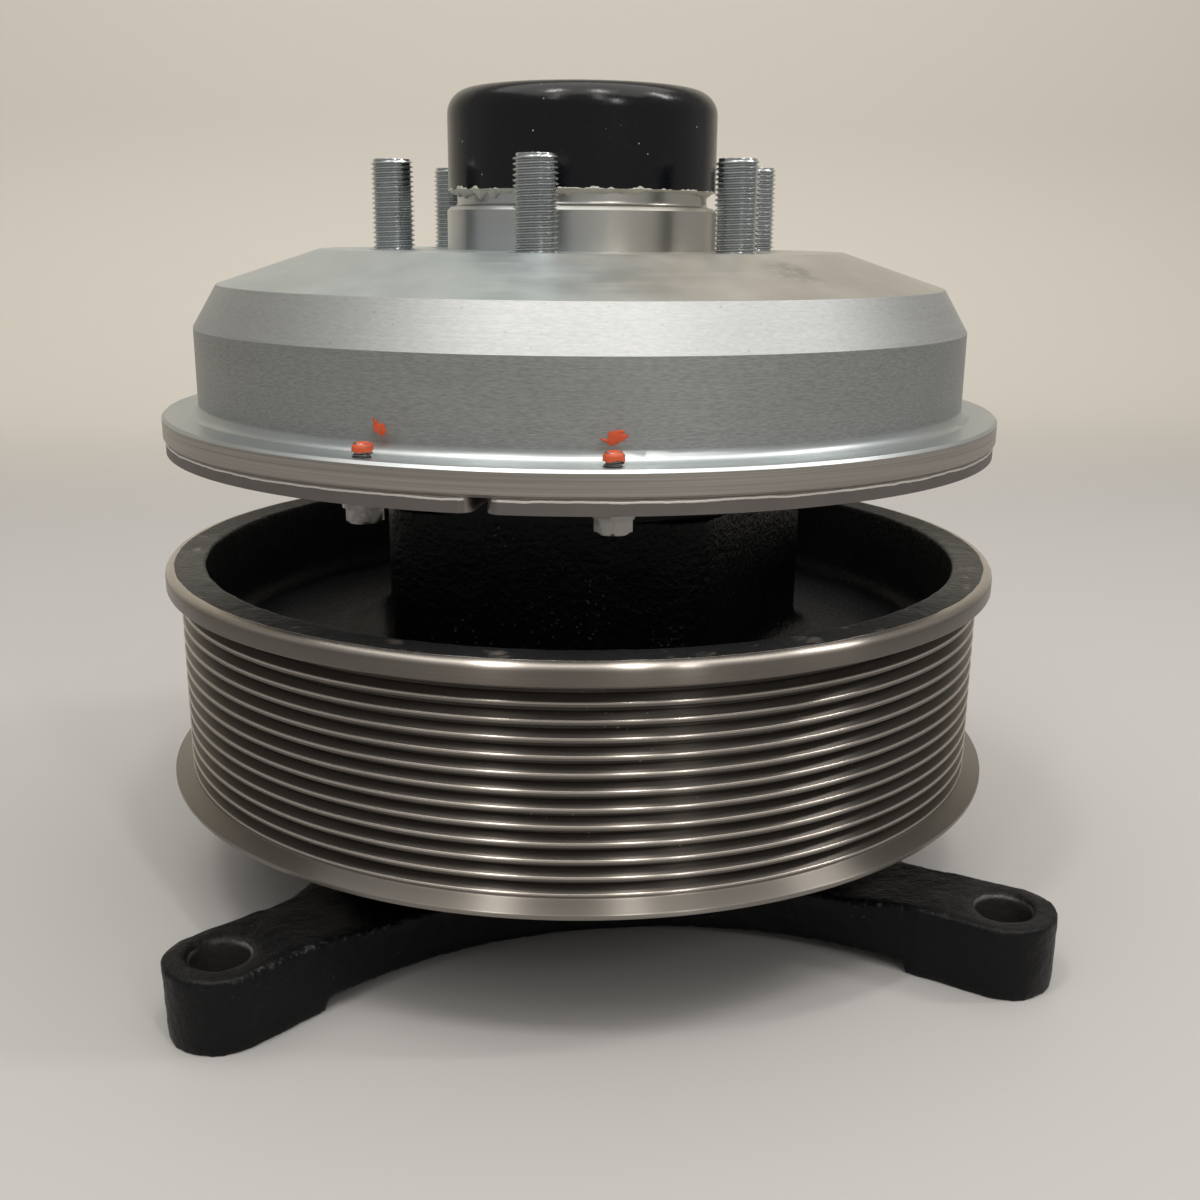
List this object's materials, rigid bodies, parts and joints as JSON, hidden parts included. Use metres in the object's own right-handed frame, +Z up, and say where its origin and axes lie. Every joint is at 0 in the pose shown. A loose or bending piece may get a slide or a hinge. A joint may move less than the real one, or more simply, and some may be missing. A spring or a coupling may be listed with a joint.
{
  "type": "fan clutch",
  "caption": "Engine fan drive: plated clutch head with pilot, studs and black end cap for a cooling fan, turning on a grooved belt pulley that runs on a black footed mounting bracket.",
  "frame": {"origin": "on the shaft's axis, at the level that the bracket's feet stand on", "axes": "+Z up along the shaft from the feet towards the fan studs; the picture is taken from a little left of -Y; the foot holes lie on the diagonals of X and Y"},
  "size_m": [0.2026, 0.2026, 0.187],
  "materials": {
    "black_paint": "satin black paint on rough cast iron",
    "turned_iron": "bare turned grooves, black paint inside",
    "zinc_plate": "satin zinc plate",
    "stamped_steel": "stamped, dull plate",
    "aluminium": "machined casting",
    "bearing_steel": "ground",
    "dark_steel": "black oxide",
    "cage_brass": "stamped brass",
    "bimetal": "rolled strip",
    "seal_rubber": "matt",
    "gloss_black": "glossy black",
    "sealant": "cured sealant, translucent"
  },
  "bodies": {
    "bracket": {"mounting_bracket": "black_paint", "spindle": "bearing_steel", "foot_washer": "dark_steel", "foot_nut": "dark_steel", "lower_inner_race": "bearing_steel", "upper_inner_race": "bearing_steel", "inner_race_spacer": "bearing_steel", "lock_washer": "dark_steel", "bearing_nut": "dark_steel"},
    "pulley": {"belt_pulley": "turned_iron", "hub_seal": "seal_rubber", "lower_outer_race": "bearing_steel", "upper_outer_race": "bearing_steel", "outer_race_spacer": "bearing_steel", "hub_retaining_ring": "dark_steel", "drive_shaft": "bearing_steel", "drive_screws": "dark_steel", "clutch_inner_race": "bearing_steel", "rotor": "aluminium", "rotor_retaining_ring": "dark_steel"},
    "hub_cages": {"lower_balls": "bearing_steel", "lower_cage": "cage_brass", "upper_balls": "bearing_steel", "upper_cage": "cage_brass"},
    "housing": {"clutch_housing": "zinc_plate", "fan_studs": "zinc_plate", "rear_cover": "aluminium", "cover_seal": "seal_rubber", "clamp_plate_1": "stamped_steel", "clamp_plate_2": "stamped_steel", "clamp_plate_3": "stamped_steel", "clamp_bolts": "zinc_plate", "clamp_washers": "zinc_plate", "clutch_outer_race": "bearing_steel", "clutch_retaining_ring": "dark_steel", "reservoir_plate": "aluminium", "reservoir_screws": "dark_steel", "valve_seal": "seal_rubber", "bimetal_coil": "bimetal", "coil_anchor": "bearing_steel", "end_cap": "gloss_black", "cap_sealant": "sealant"},
    "clutch_cages": {"clutch_balls": "bearing_steel", "clutch_cage": "cage_brass"},
    "valve": {"valve_shaft": "bearing_steel", "valve_arm": "cage_brass"}
  },
  "joints": [
    {"name": "pulley_spin", "type": "hinge", "parent": "bracket", "child": "pulley", "pos_m": [0, 0, 0.07], "axis": [0, 0, 1], "continuous": true},
    {"name": "hub_cage_spin", "type": "hinge", "parent": "bracket", "child": "hub_cages", "pos_m": [0, 0, 0.07], "axis": [0, 0, 1], "continuous": true},
    {"name": "housing_spin", "type": "hinge", "parent": "pulley", "child": "housing", "pos_m": [0, 0, 0.113], "axis": [0, 0, 1], "continuous": true},
    {"name": "clutch_cage_spin", "type": "hinge", "parent": "pulley", "child": "clutch_cages", "pos_m": [0, 0, 0.113], "axis": [0, 0, 1], "continuous": true},
    {"name": "valve_turn", "type": "hinge", "parent": "housing", "child": "valve", "pos_m": [0, 0, 0.135], "axis": [0, 0, 1], "range_deg": [0, 60], "stiffness_Nm_per_rad": 0.02, "deforming": ["bimetal_coil"]}
  ],
  "couplings": [
    {"joint": "hub_cage_spin", "follows": "pulley_spin", "ratio": 0.58351},
    {"joint": "clutch_cage_spin", "follows": "housing_spin", "ratio": 0.58824}
  ]
}
